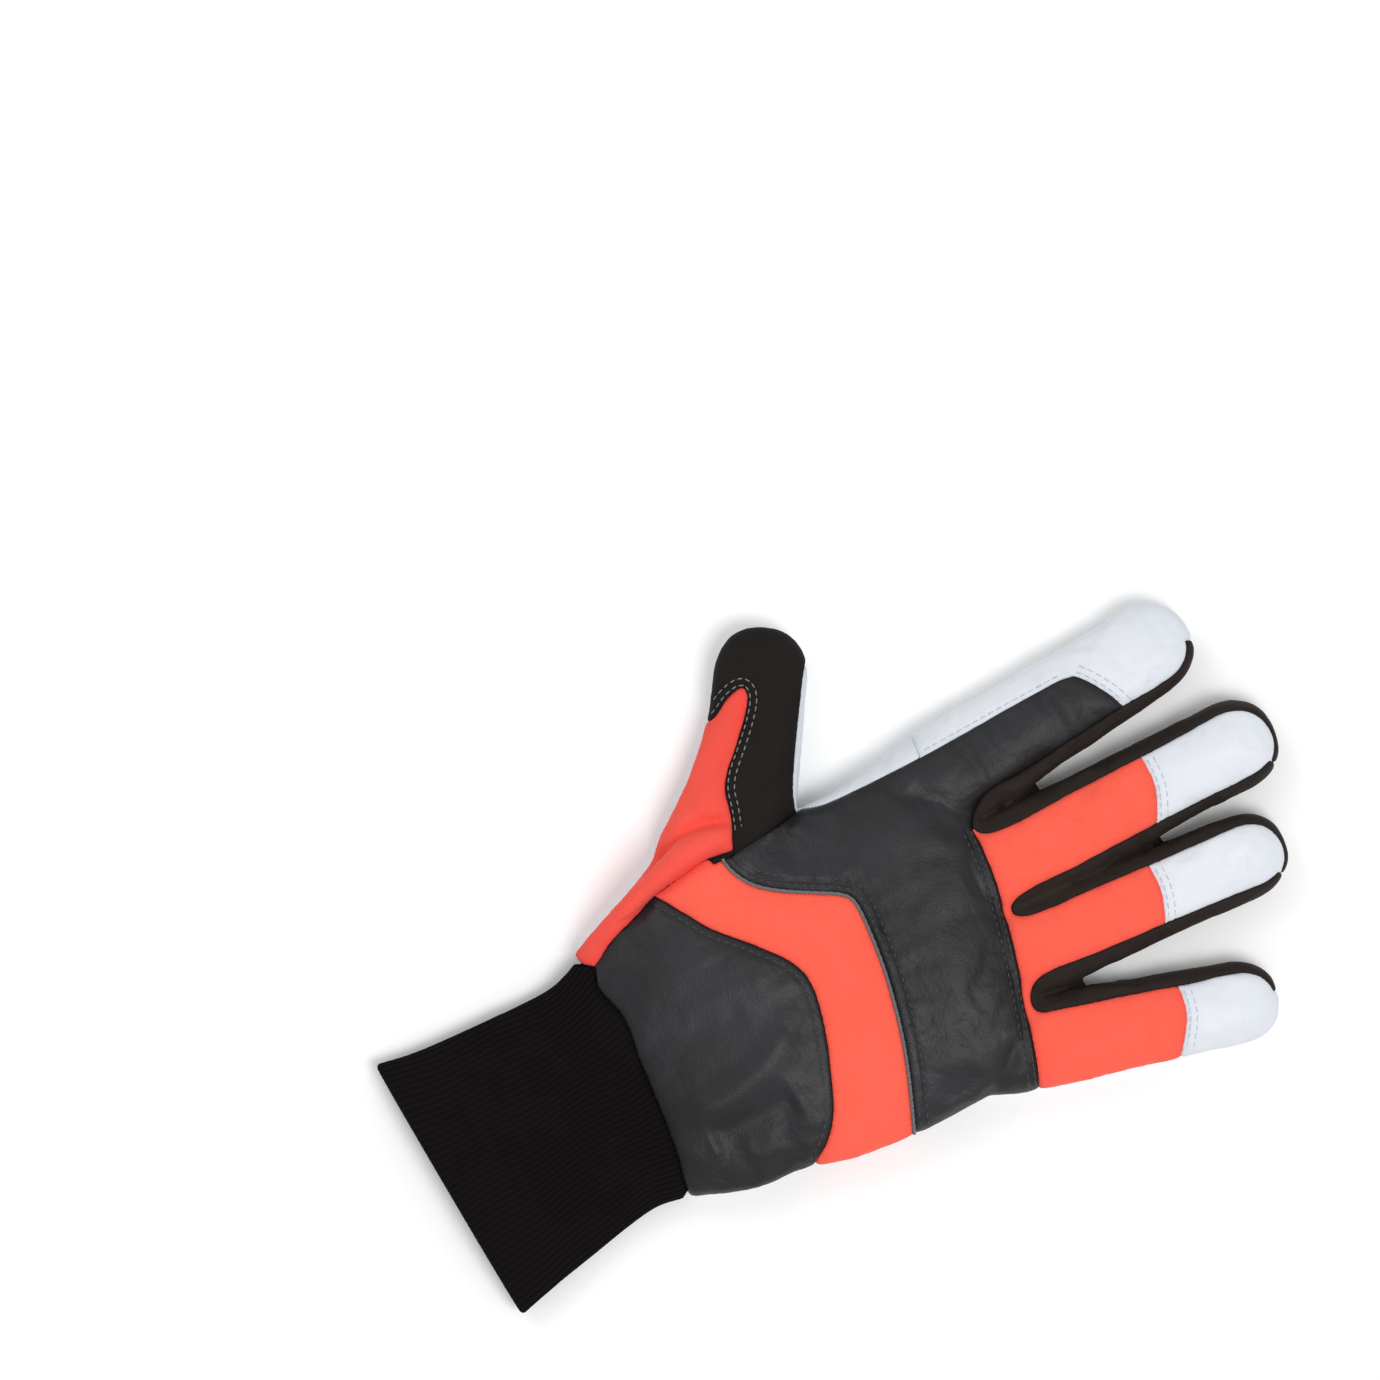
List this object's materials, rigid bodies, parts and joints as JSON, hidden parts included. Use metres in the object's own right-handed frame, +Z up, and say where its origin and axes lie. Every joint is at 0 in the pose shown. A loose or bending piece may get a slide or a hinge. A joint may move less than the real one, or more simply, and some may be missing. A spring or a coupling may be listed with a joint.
{
  "type": "chainsaw work glove",
  "caption": "Padded right-hand forestry work glove of white, black and orange panels with a quilted palm and a knitted cuff.",
  "frame": {"origin": "middle of the palm, on the surface that the glove lies on", "axes": "+Y from the wrist to the fingertips, +X to the little finger's side, +Z up out of the back of the hand"},
  "size_m": [0.1811, 0.2843, 0.0245],
  "materials": {
    "white_leather": "smooth grain, slightly soft sheen",
    "dark_leather": "fine grain, satin",
    "orange_cloth": "fine stretch weave, matt",
    "gusset_cloth": "fine stretch weave, matt",
    "thumb_suede": "suede, matt",
    "grey_piping": "corded, satin",
    "black_knit": "rib knit, matt"
  },
  "bodies": {
    "root": {"knit_cuff": "black_knit", "gusset_index_middle": "gusset_cloth", "gusset_middle_ring": "gusset_cloth", "gusset_ring_little": "gusset_cloth", "thumb_cloth": "orange_cloth", "thumb_back": "thumb_suede", "fingertip_middle": "white_leather", "fingertip_ring": "white_leather", "fingertip_little": "white_leather", "finger_cloth": "orange_cloth", "wrist_guard": "dark_leather", "back_cloth": "orange_cloth", "knuckle_piping": "grey_piping", "knuckle_guard": "dark_leather", "thumb_palm": "white_leather", "palm_patch": "white_leather", "palm_leather": "white_leather"}
  },
  "joints": []
}
